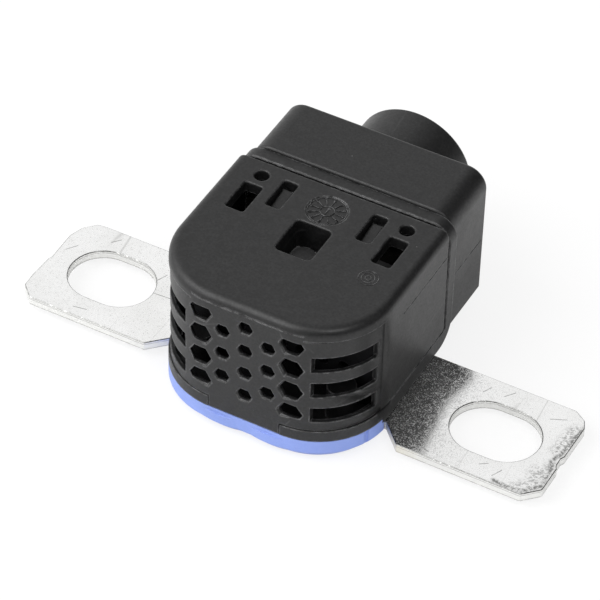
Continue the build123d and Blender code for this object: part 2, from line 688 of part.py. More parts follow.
def anvil_block():
    """The hardened frame in front of the web that the bridge is cut against."""
    back = WEB_FRONT - SEAM_GAP
    bottom = FLOOR_TOP + SEAM_GAP
    solid = box_between(-ANVIL_HALF, ANVIL_HALF, back - ANVIL_THICK, back, bottom, bottom + ANVIL_HEIGHT)
    solid = fillet(solid.edges().filter_by(Axis.Y), ANVIL_CORNER_R)
    half = BREAK_GROOVE_X + BREAK_GROOVE_WIDTH / 2 + ANVIL_MARGIN
    low, high = BRIDGE_LOW - ANVIL_MARGIN, BRIDGE_LOW + BRIDGE_HEIGHT + ANVIL_MARGIN
    window = box_between(-half, half, back - ANVIL_THICK - OVERRUN, back + OVERRUN, low, high)
    return solid - fillet(window.edges().filter_by(Axis.Y), ANVIL_CORNER_R)


def vent_baffle():
    """The perforated steel baffle that cools the gas between the anvil and the grille."""
    half = BODY_HALF - TONGUE_INSET - BAFFLE_SIDE_GAP
    bottom, top = FLOOR_TOP + SEAM_GAP, CEILING_Z - BAFFLE_TOP_GAP
    plate = box_between(-half, half, BAFFLE_Y, BAFFLE_Y + BAFFLE_THICK, bottom, top)
    middle = (bottom + top) / 2
    holes = []
    for row in range(BAFFLE_ROWS):
        z = middle + (row - (BAFFLE_ROWS - 1) / 2) * BAFFLE_PITCH
        for column in range(BAFFLE_COLUMNS):
            x = (column - (BAFFLE_COLUMNS - 1) / 2) * BAFFLE_PITCH
            holes.append(drum(BAFFLE_HOLE_R, BAFFLE_Y - OVERRUN, BAFFLE_Y + BAFFLE_THICK + OVERRUN, x=x, z=z))
    return plate - holes


def igniter_retainer():
    """The steel washer that clamps the igniter between the frame and the rear housing."""
    front = PLATE_BACK_Y + 1.5 * SEAM_GAP
    back = igniter_stations()[1] - 2 * SEAL_WIRE_R - SEAM_GAP
    return ring(CUP_R + FIT, IGNITER_FLANGE_R, front, back)


def igniter_seal():
    """The O-ring between the retainer and the igniter's flange."""
    return seal_ring(CUP_R + FIT / 2, SEAL_WIRE_R, igniter_stations()[1] - SEAL_WIRE_R - SEAM_GAP / 2)


def connector_retainer():
    """The moulded insert that keys the plug and guards the pins."""
    front = IGNITER_BACK_Y + SEAM_GAP
    outer = RETAINER_BORE_R - SEAM_GAP
    body = drum(outer, front, front + RETAINER_LENGTH)
    body -= drum(outer - RETAINER_WALL, front + RETAINER_FLOOR, front + RETAINER_LENGTH + OVERRUN)
    for x in pin_spots():
        body -= drum(PIN_R + FIT, front - OVERRUN, front + RETAINER_LENGTH, x=x)
    return body


def shorting_clip():
    """The sprung clip that bridges the pins until the plug lifts it."""
    front = IGNITER_BACK_Y + SEAM_GAP + RETAINER_FLOOR + SEAM_GAP
    back = front + RETAINER_LENGTH - RETAINER_FLOOR - CLIP_END_ROOM
    low = AXIS_Z - CLIP_DROP
    high = AXIS_Z - PIN_R - CLIP_THICK - SEAM_GAP / 2
    tip = (front + back) / 2
    rise = CLIP_TAIL_DROP - CLIP_THICK
    outline = Polyline(
        (front, low), (back, low), (back, low + CLIP_THICK), (front + 3 * CLIP_THICK, low + CLIP_THICK),
        (tip, high), (back - CLIP_THICK, high - CLIP_TAIL_DROP), (back - CLIP_THICK, high - rise),
        (tip, high + CLIP_THICK), (front, low + CLIP_THICK), close=True,
    )
    half = PIN_SPACING / 2 + CLIP_FINGER / 2
    plane = Plane(origin=(-half, 0, 0), x_dir=(0, 1, 0), z_dir=(1, 0, 0))
    clip = extrude(plane * make_face(outline), 2 * half)
    gap = PIN_SPACING / 2 - CLIP_FINGER / 2
    return clip - box_between(-gap, gap, front + CLIP_ROOT, back + OVERRUN, low + 2 * CLIP_THICK, AXIS_Z)


PARTS = {
    "busbar": busbar,
    "base_cover": base_cover,
    "frame_housing": frame_housing,
    "vent_cover": vent_cover,
    "rear_housing": rear_housing,
    "base_screws": base_screws,
    "igniter_cup": igniter_cup,
    "igniter_charge": igniter_charge,
    "igniter_header": igniter_header,
    "contact_pins": contact_pins,
    "igniter_body": igniter_body,
    "igniter_retainer": igniter_retainer,
    "igniter_seal": igniter_seal,
    "cylinder_sleeve": cylinder_sleeve,
    "cutter_piston": cutter_piston,
    "piston_seal": piston_seal,
    "anvil_block": anvil_block,
    "vent_baffle": vent_baffle,
    "connector_retainer": connector_retainer,
    "shorting_clip": shorting_clip,
}


def main():
    """Build every piece and write one STEP file for each node."""
    os.makedirs("parts", exist_ok=True)
    for name, make in PARTS.items():
        made = make()
        shape = Compound(children=list(made)) if isinstance(made, list) else made
        export_step(shape, f"parts/{name}.step")
        print(name, "solids", len(shape.solids()))


if __name__ == "__main__":
    main()
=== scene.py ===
"""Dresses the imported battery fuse: finishes, fine forms, studio and camera.

The frame gives every piece in metres: +X along the busbar, +Y out of the connector hood, +Z up,
with the origin on the busbar's underside midway between its bolt slots.
"""

from __future__ import annotations

import json
import logging
import math
from dataclasses import dataclass, fields
from enum import Enum
from functools import reduce
from typing import Any, Iterable, Optional, Sequence, Union

import bmesh
import bpy
from mathutils import Matrix, Vector

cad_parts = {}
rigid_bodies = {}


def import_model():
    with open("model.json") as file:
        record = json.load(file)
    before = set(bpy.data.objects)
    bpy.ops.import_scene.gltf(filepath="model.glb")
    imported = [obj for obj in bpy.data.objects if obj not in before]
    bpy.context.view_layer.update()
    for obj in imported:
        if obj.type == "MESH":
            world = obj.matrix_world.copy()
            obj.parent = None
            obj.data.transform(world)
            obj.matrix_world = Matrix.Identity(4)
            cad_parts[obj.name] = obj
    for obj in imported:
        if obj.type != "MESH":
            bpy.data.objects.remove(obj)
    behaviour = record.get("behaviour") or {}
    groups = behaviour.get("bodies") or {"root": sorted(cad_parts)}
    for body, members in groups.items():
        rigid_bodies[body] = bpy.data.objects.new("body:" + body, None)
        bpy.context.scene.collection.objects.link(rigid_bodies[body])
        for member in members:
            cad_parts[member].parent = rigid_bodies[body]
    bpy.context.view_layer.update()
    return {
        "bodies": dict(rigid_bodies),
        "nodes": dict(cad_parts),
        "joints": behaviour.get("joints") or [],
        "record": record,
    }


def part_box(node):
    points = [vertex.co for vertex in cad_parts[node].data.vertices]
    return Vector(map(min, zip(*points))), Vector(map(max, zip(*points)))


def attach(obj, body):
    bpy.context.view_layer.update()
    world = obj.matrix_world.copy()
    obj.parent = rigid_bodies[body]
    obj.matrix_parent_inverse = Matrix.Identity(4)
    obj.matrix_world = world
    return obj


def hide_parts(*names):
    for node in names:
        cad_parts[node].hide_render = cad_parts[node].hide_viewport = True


LOG = logging.getLogger("battery_fuse")
MM = 0.001
ROOT = "root"

Colour = tuple[float, float, float]
Socket = bpy.types.NodeSocket
Feed = Union[float, Sequence[float], Socket]
Fed = Union[Sequence[Feed], dict[str, Feed]]
Tree = bpy.types.NodeTree
Mesh = bpy.types.Mesh
Shape = bmesh.types.BMesh
Thing = bpy.types.Object
Point = tuple[float, float]
Corner = tuple[float, float, float]
Run = tuple[float, float, float, float]


class Wiring:
    """Short calls that add and join the nodes of one tree."""

    def __init__(self, tree: Tree) -> None:
        """Keep the tree that the nodes go into."""
        self.tree = tree

    def add(self, kind: str, **settings: Any) -> bpy.types.Node:
        """Add a node and set its properties.

        Args:
            kind: The node's Blender type.
            settings: Property names and their values.

        Returns:
            The new node.
        """
        node = self.tree.nodes.new(kind)
        for name, value in settings.items():
            setattr(node, name, value)
        return node

    def put(self, socket: Socket, value: Feed) -> None:
        """Join a socket to another, or set its value."""
        if isinstance(value, bpy.types.NodeSocket):
            self.tree.links.new(value, socket)
        elif hasattr(socket.default_value, "__len__") and len(socket.default_value) == 4:
            socket.default_value = (*value, 1.0) if len(value) == 3 else value
        else:
            socket.default_value = value

    def form(self, kind: str, fed: Fed, **settings: Any) -> Socket:
        """Add a node, feed its inputs and return its first output.

        Args:
            kind: The node's Blender type.
            fed: What goes into its inputs, in order or by name.
            settings: Property names and their values.

        Returns:
            The node's first output.
        """
        node = self.add(kind, **settings)
        if not isinstance(fed, dict):
            for socket, value in zip(node.inputs, fed):
                self.put(socket, value)
            return node.outputs[0]
        for label, value in fed.items():
            self.put(next(one for one in node.inputs if one.name == label and one.enabled), value)
        return node.outputs[0]

    def math(self, operation: str, first: Feed, second: Feed = 0.0, clamp: bool = False) -> Socket:
        """Combine two values with one arithmetic step and return the result."""
        return self.form("ShaderNodeMath", (first, second), operation=operation, use_clamp=clamp)

    def times(self, first: Feed, *others: Feed) -> Socket:
        """Multiply values, from left to right."""
        return reduce(lambda total, other: self.math("MULTIPLY", total, other), others, first)

    def plus(self, first: Feed, *others: Feed) -> Socket:
        """Add values, from left to right."""
        return reduce(lambda total, other: self.math("ADD", total, other), others, first)

    def minus(self, first: Feed, second: Feed) -> Socket:
        """Take the second value from the first."""
        return self.math("SUBTRACT", first, second)

    def top(self, *values: Feed) -> Socket:
        """The largest of several values."""
        return reduce(lambda total, other: self.math("MAXIMUM", total, other), values)

    def part(self, vector: Feed, name: str) -> Socket:
        """One component of a vector, by its letter."""
        return self.form("ShaderNodeSeparateXYZ", (vector,)).node.outputs[name]

    def span(
        self, value: Feed, low: float, high: float, start: float = 0.0, end: float = 1.0
    ) -> Socket:
        """Map a value from low to high onto start to end, held at both."""
        fed = (value, low, high, start, end)
        return self.form("ShaderNodeMapRange", fed, interpolation_type="SMOOTHSTEP")

    def blend(self, share: Feed, first: Feed, second: Feed) -> Socket:
        """Mix two colours by a share and return the mixed colour."""
        node = self.add("ShaderNodeMix", data_type="RGBA", blend_type="MIX", clamp_factor=True)
        for index, fed in ((0, share), (6, first), (7, second)):
            self.put(node.inputs[index], fed)
        return node.outputs[2]

    def spot(self) -> Socket:
        """The piece's own coordinates."""
        return self.add("ShaderNodeTexCoord").outputs["Object"]

    def place(self, scale: Corner = (1.0, 1.0, 1.0), turn: Corner = (0.0, 0.0, 0.0)) -> Socket:
        """The piece's own coordinates, stretched along each axis and turned in radians."""
        fed = {"Vector": self.spot(), "Rotation": turn, "Scale": scale}
        return self.form("ShaderNodeMapping", fed)

    def axis(self, name: str) -> Socket:
        """One coordinate of the piece's own space, by its letter."""
        return self.part(self.spot(), name)

    def pattern(
        self, where: Socket, scale: Feed, detail: float = 3.0, rough: float = 0.55
    ) -> Socket:
        """A cloudy pattern from 0 to 1 at a given scale."""
        fed = {"Vector": where, "Scale": scale, "Detail": detail, "Roughness": rough}
        return self.form("ShaderNodeTexNoise", fed)

    def cells(self, where: Socket, scale: Feed, feature: str = "F1") -> Socket:
        """The distance field of a cell pattern at a given scale."""
        fed = {"Vector": where, "Scale": scale}
        return self.form("ShaderNodeTexVoronoi", fed, feature=feature)

    def stroke(self, start: Point, end: Point, width: float, soft: float) -> Socket:
        """A soft line drawn in plan between two points.

        Args:
            start: Its first point, in millimetres.
            end: Its last point, in millimetres.
            width: Half its width, in millimetres.
            soft: How far it fades out beyond that, in millimetres.

        Returns:
            A mask that is 1 along the line.
        """
        first = Vector((start[0] * MM, start[1] * MM, 0.0))
        run = Vector((end[0] * MM, end[1] * MM, 0.0)) - first
        flat = self.vector("MULTIPLY", self.spot(), (1.0, 1.0, 0.0))
        reach = self.vector("SUBTRACT", flat, first)
        share = self.vector("DOT_PRODUCT", reach, run / max(run.length_squared, 1e-12))
        share = self.math("MULTIPLY", share, 1.0, clamp=True)
        steps = [self.times(share, run[index]) for index in range(2)]
        along = self.form("ShaderNodeCombineXYZ", steps)
        distance = self.vector("LENGTH", self.vector("SUBTRACT", reach, along))
        return self.span(distance, (width + soft) * MM, width * MM)

    def vector(self, operation: str, first: Feed, second: Feed = (0.0, 0.0, 0.0)) -> Socket:
        """One vector step; a dot product or a length gives a number."""
        result = self.form("ShaderNodeVectorMath", (first, second), operation=operation)
        return result.node.outputs["Value"] if operation in ("DOT_PRODUCT", "LENGTH") else result

    def bump(
        self, height: Feed, strength: float, depth: float, under: Optional[Socket] = None
    ) -> Socket:
        """Turn a height into a surface normal.

        Args:
            height: The height field.
            strength: How much of it shows.
            depth: How many metres a height of 1 stands for.
            under: A normal that this one is laid over.

        Returns:
            The normal.
        """
        fed: dict[str, Feed] = {"Strength": strength, "Distance": depth, "Height": height}
        if under is not None:
            fed["Normal"] = under
        return self.form("ShaderNodeBump", fed)


def emptied(owner: Union[bpy.types.Material, bpy.types.World]) -> Tree:
    """The node tree of a material or world, with nothing in it."""
    owner.use_nodes = True
    owner.node_tree.nodes.clear()
    return owner.node_tree


def add_numbers(tree: Tree, numbers: dict[str, float]) -> None:
    """Give a node group number inputs with their defaults."""
    for name, value in numbers.items():
        socket = tree.interface.new_socket(name, in_out="INPUT", socket_type="NodeSocketFloat")
        socket.default_value = value


def linked(name: str, data: Optional[bpy.types.ID]) -> Thing:
    """A new object at the origin of the scene."""
    thing = bpy.data.objects.new(name, data)
    bpy.context.collection.objects.link(thing)
    return thing


def frozen(carrier: Thing) -> Mesh:
    """The evaluated shape of a carrier as a plain mesh; the carrier is removed."""
    depsgraph = bpy.context.evaluated_depsgraph_get()
    mesh = bpy.data.meshes.new_from_object(carrier.evaluated_get(depsgraph), depsgraph=depsgraph)
    carrier.modifiers.clear()
    bpy.data.objects.remove(carrier)
    return mesh


def joined(parts: Iterable[Shape]) -> Shape:
    """Put several shapes into one and free them."""
    whole = bmesh.new()
    for part in parts:
        mesh = bpy.data.meshes.new("part")
        part.to_mesh(mesh)
        part.free()
        whole.from_mesh(mesh)
        bpy.data.meshes.remove(mesh)
    return whole


def shade(colour: Colour, share: float) -> Colour:
    """A colour made darker or lighter."""
    return tuple(share * channel for channel in colour)


class Effect(Enum):
    """The shared surface effects, by the name of their node group."""

    GRAIN = "mould grain"
    # Convex-edge mask: used for real wear and for painted edge highlight and edge shade.
    RUB = "rubbed edges"
    SCRATCH = "fine scratches"
    DRIFT = "slow tint drift"
    DUST = "stray specks"


class EffectShop:
    """Builds the node group of each shared effect once."""

    def __init__(self) -> None:
        """Build every effect's group, with its inputs' defaults and one output called Mask."""
        self.groups: dict[Effect, Tree] = {}
        for effect, draw, inputs in (
            (Effect.GRAIN, self._grain, {"Scale": 2600.0, "Pits": 0.35}),
            (Effect.RUB, self._rub, {"Width": 0.0003, "Amount": 1.0}),
            (Effect.SCRATCH, self._scratch, {"Scale": 160.0, "Amount": 1.0}),
            (Effect.DRIFT, self._drift, {"Scale": 120.0, "Contrast": 1.0}),
            (Effect.DUST, self._dust, {"Scale": 260.0, "Size": 0.05, "Share": 0.3}),
        ):
            tree = bpy.data.node_groups.new(effect.value, "ShaderNodeTree")
            add_numbers(tree, inputs)
            tree.interface.new_socket("Mask", in_out="OUTPUT", socket_type="NodeSocketFloat")
            net = Wiring(tree)
            mask = draw(net, net.add("NodeGroupInput").outputs)
            net.put(net.add("NodeGroupOutput").inputs["Mask"], mask)
            self.groups[effect] = tree

    @staticmethod
    def _grain(net: Wiring, given: Any) -> Socket:
        """The fine even texture of a moulded face, from a spark-eroded mould."""
        where = net.place()
        fine = net.pattern(where, given["Scale"], detail=2.0, rough=0.6)
        coarse = net.pattern(where, net.times(given["Scale"], 0.27), detail=2.0)
        pits = net.span(net.cells(where, net.times(given["Scale"], 0.5)), 0.0, 0.35)
        body = net.plus(net.times(fine, 0.7), net.times(coarse, 0.3))
        sunk = net.times(net.minus(1.0, pits), given["Pits"])
        return net.math("SUBTRACT", body, sunk, clamp=True)

    @staticmethod
    def _rub(net: Wiring, given: Any) -> Socket:
        """A soft mask along convex edges, broken up: where handling has rubbed them, and where an
        edge highlight or edge shade is painted.
        """
        soft = net.form("ShaderNodeBevel", {"Radius": given["Width"]}, samples=4)
        facing = net.add("ShaderNodeNewGeometry").outputs["Normal"]
        edge = net.span(net.vector("DOT_PRODUCT", soft, facing), 0.995, 0.86)
        clouds = net.pattern(net.place(), 900.0, detail=4.0, rough=0.7)
        return net.times(edge, net.span(clouds, 0.35, 0.62), given["Amount"])

    @staticmethod
    def _scratch(net: Wiring, given: Any) -> Socket:
        """Sparse hairline scratches that run several ways."""
        marks = []
        for turn, stretch, gate in ((0.35, 0.06, 0.56), (1.25, 0.05, 0.6), (2.35, 0.08, 0.58)):
            where = net.place(scale=(1.0, stretch, 1.0), turn=(0.0, 0.0, turn))
            edges = net.cells(where, given["Scale"], "DISTANCE_TO_EDGE")
            clouds = net.pattern(where, net.times(given["Scale"], 0.9))
            patch = net.span(clouds, gate, gate + 0.08)
            marks.append(net.times(net.span(edges, 0.018, 0.0), patch))
        return net.times(net.top(*marks), given["Amount"])

    @staticmethod
    def _drift(net: Wiring, given: Any) -> Socket:
        """A slow change of tint over a piece, as from filler, plating or handling."""
        broad = net.pattern(net.place(), given["Scale"], detail=4.0, rough=0.6)
        centred = net.times(net.minus(broad, 0.5), given["Contrast"])
        return net.math("ADD", centred, 0.5, clamp=True)

    @staticmethod
    def _dust(net: Wiring, given: Any) -> Socket:
        """A few small round specks, far apart, as dust and pits leave them."""
        distance = net.cells(net.place(), given["Scale"])
        tag = net.part(distance.node.outputs["Color"], "X")
        dot = net.math("LESS_THAN", distance, given["Size"])
        return net.times(dot, net.math("LESS_THAN", tag, given["Share"]))


class Surface(Wiring):
    """The shader tree of one material, with the shared effects at hand."""

    def __init__(self, name: str, shop: Optional[EffectShop] = None) -> None:
        """Make a material with an empty tree, and keep the shared effects."""
        self.material = bpy.data.materials.new(name)
        super().__init__(emptied(self.material))
        self.shop = shop

    def use(self, effect: Effect, **values: Feed) -> Socket:
        """Place an effect with its inputs by name and return its mask."""
        return self.form("ShaderNodeGroup", values, node_tree=self.shop.groups[effect])

    def end(self, shader: Socket) -> bpy.types.Material:
        """Join the shader to the material's output and return the material."""
        self.put(self.add("ShaderNodeOutputMaterial").inputs["Surface"], shader)
        return self.material


@dataclass(frozen=True)
class Finish:
    """What every finish has: a slot name in the record and a base colour."""

    slot: str
    colour: Colour

    def build(self, shop: EffectShop) -> bpy.types.Material:
        """Build this finish as a material from the shared effects."""
        net = Surface(self.slot, shop)
        return net.end(net.form("ShaderNodeBsdfPrincipled", self.dress(net)))

    def dress(self, net: Surface) -> dict[str, Feed]:
        """What feeds the surface shader's sockets, by their names."""
        raise NotImplementedError


@dataclass(frozen=True)
class Moulding(Finish):
    """A satin moulded plastic with fine grain, a slow tint drift, a few specks and lighter edges
    that are partly wear and partly painted highlight.
    """

    # The lighter tone of grain, scratches, specks and worn edges; on the edges it is also painted
    # highlight.
    rubbed: Colour
    roughness: float = 0.52
    grain: float = 2600.0
    depth: float = 0.000009
    specular: float = 0.5
    wear: float = 0.5
    round_over: float = 0.00018
    dust: float = 0.22
    rubbed_width: float = 0.0003
    mottle: float = 0.12
    scoop_x: float = 17.3 * MM
    scoop_y: tuple[float, float] = (-8.2 * MM, -5.4 * MM)
    scoop_round: float = 0.0

    def scoop(self, net: Wiring) -> Socket:
        """A mask over the strips where the slots' recess runs out into the sides."""
        across = net.math("ABSOLUTE", net.axis("X"))
        outer = net.span(across, self.scoop_x - 0.4 * MM, self.scoop_x)
        front = net.span(net.axis("Y"), self.scoop_y[0] - 0.5 * MM, self.scoop_y[0])
        rear = net.span(net.axis("Y"), self.scoop_y[1] + 0.5 * MM, self.scoop_y[1])
        level = net.span(net.axis("Z"), 24.0 * MM, 22.5 * MM)
        return net.times(outer, level, front, rear)

    def dress(self, net: Surface) -> dict[str, Feed]:
        """Colour, roughness, gloss and grain."""
        drift = net.use(Effect.DRIFT, Scale=70.0, Contrast=1.3)
        grain = net.use(Effect.GRAIN, Scale=self.grain)
        # Edge mask: convex edges are lightened towards the wear tone, partly as real wear and
        # partly as painted highlight.
        edge_wear_and_light = net.use(Effect.RUB, Width=self.rubbed_width, Amount=self.wear)
        over: Feed = self.round_over
        if self.scoop_round:
            scoop = self.scoop(net)
            edge_wear_and_light = net.times(edge_wear_and_light, net.minus(1.0, scoop))
            over = net.plus(net.times(scoop, self.scoop_round), self.round_over)
        scratch = net.use(Effect.SCRATCH, Scale=110.0, Amount=0.25)
        dust = net.use(Effect.DUST, Scale=330.0, Size=0.028, Share=self.dust)
        tone = net.blend(drift, shade(self.colour, 0.85), shade(self.colour, 1.15))
        tone = net.blend(net.span(grain, 0.35, 0.75, 0.0, self.mottle), tone, self.rubbed)
        # Painted highlight on convex edges, mixed with real scratches and specks, all in the
        # lighter wear tone.
        tone = net.blend(net.top(edge_wear_and_light, scratch, net.times(dust, 0.8)), tone, self.rubbed)
        rough = net.span(grain, 0.2, 0.8, self.roughness + 0.04, self.roughness - 0.04)
        rough = net.plus(rough, net.span(drift, 0.2, 0.8, -0.04, 0.04))
        soft = net.form("ShaderNodeBevel", {"Radius": over}, samples=6)
        return {
            "Base Color": tone,
            "Roughness": net.minus(rough, net.times(edge_wear_and_light, 0.1)),
            "Specular IOR Level": self.specular,
            "Normal": net.bump(grain, 0.5, self.depth, under=soft),
        }


@dataclass(frozen=True)
class TinPlate(Finish):
    """Matt tin over rolled copper: finely speckled, scuffed, darker along the sheared edges, with
    painted shade along the rounded edges and on the part hidden in the housing.

    The marks run from X, Y to X, Y in millimetres.
    """

    fleck: Colour = (0.42, 0.42, 0.41)
    sheared: Colour = (0.74, 0.74, 0.72)
    copper: Colour = (0.74, 0.68, 0.50)
    # Dark tone of the shear lines and handling marks, also used as painted shade along the rounded
    # edges.
    tarnish: Colour = (0.13, 0.13, 0.125)
    # Painted shade: a dark tone laid on the part of the bar hidden inside the housing.
    lacquer: Colour = (0.035, 0.033, 0.03)
    fall: float = 0.026
    relief: float = 0.006 * MM
    body_half: float = 18.2 * MM
    smear: tuple[Run, ...] = (
        (44.7, 7.0, 44.5, 3.2), (44.5, 3.2, 44.2, 0.4), (44.2, 0.4, 43.6, -1.4),
        (43.6, -1.4, 44.3, -2.8), (44.3, -2.8, 44.5, -7.0), (44.4, -7.0, 42.5, -9.3),
        (42.5, -9.3, 39.9, -9.55), (39.9, -9.55, 37.8, -9.3),
    )
    haze: tuple[Run, ...] = (
        (44.0, 6.0, 43.6, 1.0), (42.6, -4.6, 43.4, -7.0), (43.0, -7.6, 41.4, -9.0),
        (44.2, -2.6, 44.0, -6.4),
    )
    scrapes: tuple[Run, ...] = (
        (-30.6, 5.6, -27.4, 2.9), (-27.4, 2.9, -26.5, 5.0), (-26.4, 0.4, -18.6, 0.9),
        (28.2, 6.6, 28.9, 8.0), (31.4, 7.2, 32.6, 8.8), (39.6, 6.4, 41.9, 7.5),
        (24.6, -8.2, 26.8, -8.9), (34.5, -7.4, 35.6, -6.6), (37.2, -8.6, 38.0, -6.9),
        (-38.0, 7.2, -36.9, 8.5), (-43.4, 2.2, -42.2, 3.9), (-35.6, -8.4, -33.4, -8.0),
    )

    def dress(self, net: Surface) -> dict[str, Feed]:
        """Colour, roughness and the plate's fine relief."""
        speckle = net.use(Effect.GRAIN, Scale=4300.0, Pits=0.25)
        broad = net.use(Effect.DRIFT, Scale=95.0, Contrast=1.5)
        scratch = net.use(Effect.SCRATCH, Scale=210.0, Amount=0.7)
        upward = net.part(net.add("ShaderNodeNewGeometry").outputs["Normal"], "Z")
        cut = net.span(net.math("ABSOLUTE", upward), 0.6, 0.3)
        clouds = net.pattern(net.place(), 900.0, detail=4.0, rough=0.7)
        ragged = net.span(clouds, 0.3, 0.55, 0.35, 1.0)
        across = net.math("ABSOLUTE", net.axis("X"))
        inside = net.span(across, self.body_half, self.body_half - 0.6 * MM)
        near = net.span(net.axis("X"), 27.0 * MM, 21.0 * MM)
        right = net.span(net.axis("X"), 17.0 * MM, 18.5 * MM)
        tone: Feed = self.colour
        for share, laid in (
            (net.span(broad, 0.35, 0.75, 0.0, 0.25), self.sheared),
            (net.span(speckle, 0.48, 0.26, 0.0, 0.4), self.fleck),
            (net.times(scratch, 0.6), self.fleck),
            (net.times(cut, 0.7), self.sheared),
            (net.times(self._cut_lines(net), ragged, cut, 0.55), self.tarnish),
            (net.times(near, right, cut, 0.45), self.copper),
            (net.times(self._marks(net, upward, ragged), 0.85), self.tarnish),
            # Painted shade: the bar inside the housing is darkened to stand in for the housing's
            # shadow.
            (inside, self.lacquer),
        ):
            tone = net.blend(share, tone, laid)
        ramp = net.top(net.minus(net.axis("X"), self.body_half), 0.0)
        share = net.span(net.axis("Y"), 0.0, 9.5 * MM, -1.0, 0.0)
        tilt = net.bump(net.times(ramp, share), 1.0, self.fall)
        return {
            "Base Color": tone,
            "Metallic": 1.0,
            "Roughness": net.plus(
                net.span(speckle, 0.3, 0.6, 0.13, 0.08), net.span(speckle, 0.44, 0.64, 0.0, 0.33),
                net.times(cut, 0.2), net.times(inside, 0.45),
            ),
            "Normal": net.bump(speckle, 0.6, self.relief, under=tilt),
        }

    def _marks(self, net: Surface, upward: Socket, ragged: Socket) -> Socket:
        """A mask over the marks that handling and the press left dark, and over the painted shade
        along the rounded edges.

        Args:
            net: The material's tree.
            upward: How far each face looks up.
            ragged: A pattern that breaks up the marks.

        Returns:
            The mask.
        """
        edge_wear_and_light = net.use(Effect.RUB, Width=0.0004, Amount=1.0)
        pits = net.use(Effect.DUST, Scale=700.0, Size=0.16, Share=0.05)
        clouds = net.pattern(net.place(), 2300.0, detail=4.0, rough=0.75)
        gritty = net.span(clouds, 0.42, 0.6)
        flat = net.span(upward, 0.6, 0.95)
        grime = net.span(gritty, 0.0, 0.8, 0.3, 1.0)
        worn = net.top(
            net.times(self._lines(net, self.smear, 0.06, 0.6), grime),
            net.times(self._lines(net, self.haze, 0.3, 1.8), gritty, 0.7),
            net.times(self._lines(net, self.scrapes, 0.035, 0.07), ragged, 0.8),
            net.times(pits, 0.5),
        )
        # Painted shade: a dark line on the rounded edge faces, picked by how far each face looks
        # up.
        outline = net.times(
            net.span(upward, 0.99, 0.93), net.span(upward, 0.15, 0.4),
            net.span(ragged, 0.35, 0.8, 0.55, 1.0),
        )
        # Handling marks on flat faces, edges darkened as wear and as painted shade, and the painted
        # edge line.
        return net.top(net.times(worn, flat), net.times(edge_wear_and_light, 0.7), outline)

    @staticmethod
    def _lines(net: Wiring, runs: tuple[Run, ...], width: float, soft: float) -> Socket:
        """Several straight marks in plan as one mask."""
        return net.top(*(net.stroke(run[:2], run[2:], width, soft) for run in runs))

    @staticmethod
    def _cut_lines(net: Wiring) -> Socket:
        """The two fine lines that shearing leaves along a cut edge."""
        height = net.axis("Z")
        away = (net.math("ABSOLUTE", net.minus(height, level * MM)) for level in (0.2, 1.2))
        return net.top(*(net.span(one, 0.09 * MM, 0.03 * MM) for one in away))


@dataclass(frozen=True)
class Metal(Finish):
    """A plain hard metal with turning or drawing lines and rubbed edges."""

    roughness: float
    lines: float = 900.0
    worn: Colour = (0.8, 0.8, 0.8)
    relief: float = 0.008 * MM

    def dress(self, net: Surface) -> dict[str, Feed]:
        """Colour, roughness and the tool lines."""
        drift = net.use(Effect.DRIFT, Scale=300.0, Contrast=1.2)
        edge_wear_and_light = net.use(Effect.RUB, Width=0.00025, Amount=0.8)
        streak = net.pattern(net.place(scale=(1.0, 0.04, 1.0)), self.lines, detail=2.0)
        tone = net.blend(drift, shade(self.colour, 0.78), self.colour)
        low, high = self.roughness - 0.06, self.roughness + 0.08
        return {
            "Base Color": net.blend(edge_wear_and_light, tone, self.worn),
            "Metallic": 1.0,
            "Roughness": net.span(streak, 0.25, 0.75, low, high),
            "Normal": net.bump(streak, 0.4, self.relief),
        }


@dataclass(frozen=True)
class Mineral(Finish):
    """A dry, slightly sandy solid: rubber, pressed powder or ceramic-filled moulding."""

    roughness: float
    speck: Colour
    grain: float = 1800.0
    relief: float = 0.02 * MM

    def dress(self, net: Surface) -> dict[str, Feed]:
        """Colour, roughness and the sandy relief."""
        drift = net.use(Effect.DRIFT, Scale=260.0, Contrast=1.4)
        grain = net.use(Effect.GRAIN, Scale=self.grain, Pits=0.6)
        tone = net.blend(net.span(grain, 0.45, 0.75, 0.0, 0.6), self.colour, self.speck)
        return {
            "Base Color": net.blend(net.span(drift, 0.3, 0.7, 0.0, 0.2), tone, self.speck),
            "Roughness": net.span(grain, 0.2, 0.8, self.roughness, self.roughness - 0.1),
            "Normal": net.bump(grain, 0.6, self.relief),
        }


FINISHES: tuple[Finish, ...] = (
    TinPlate("tinned_copper", (0.97, 0.97, 0.965)),
    Moulding(
        "black_plastic", (0.0045, 0.0045, 0.0047), (0.14, 0.14, 0.142), 0.42, wear=1.0,
        specular=0.41, mottle=0.065, round_over=0.00026, rubbed_width=0.0004, scoop_round=0.0012,
    ),
    Moulding(
        "blue_plastic", (0.225, 0.31, 0.69), (0.36, 0.44, 0.78), 0.5, wear=0.35,
        specular=0.4, dust=0.05,
    ),
    Moulding("grey_plastic", (0.2, 0.2, 0.21), (0.3, 0.3, 0.31), 0.5, wear=0.3),
    Metal("zinc_steel", (0.62, 0.63, 0.65), 0.32),
    Metal("bright_steel", (0.7, 0.7, 0.7), 0.24, lines=1400.0),
    Metal("dark_steel", (0.03, 0.03, 0.032), 0.6, worn=(0.12, 0.12, 0.125)),
    Metal("gold_plate", (0.85, 0.68, 0.3), 0.25, worn=(0.9, 0.78, 0.5)),
    Mineral("seal_rubber", (0.03, 0.03, 0.03), 0.75, (0.06, 0.06, 0.06)),
    Mineral("charge_compound", (0.3, 0.28, 0.24), 0.85, (0.42, 0.4, 0.34), grain=900.0),
    Mineral("ceramic_filled", (0.05, 0.05, 0.05), 0.7, (0.09, 0.09, 0.088)),
)


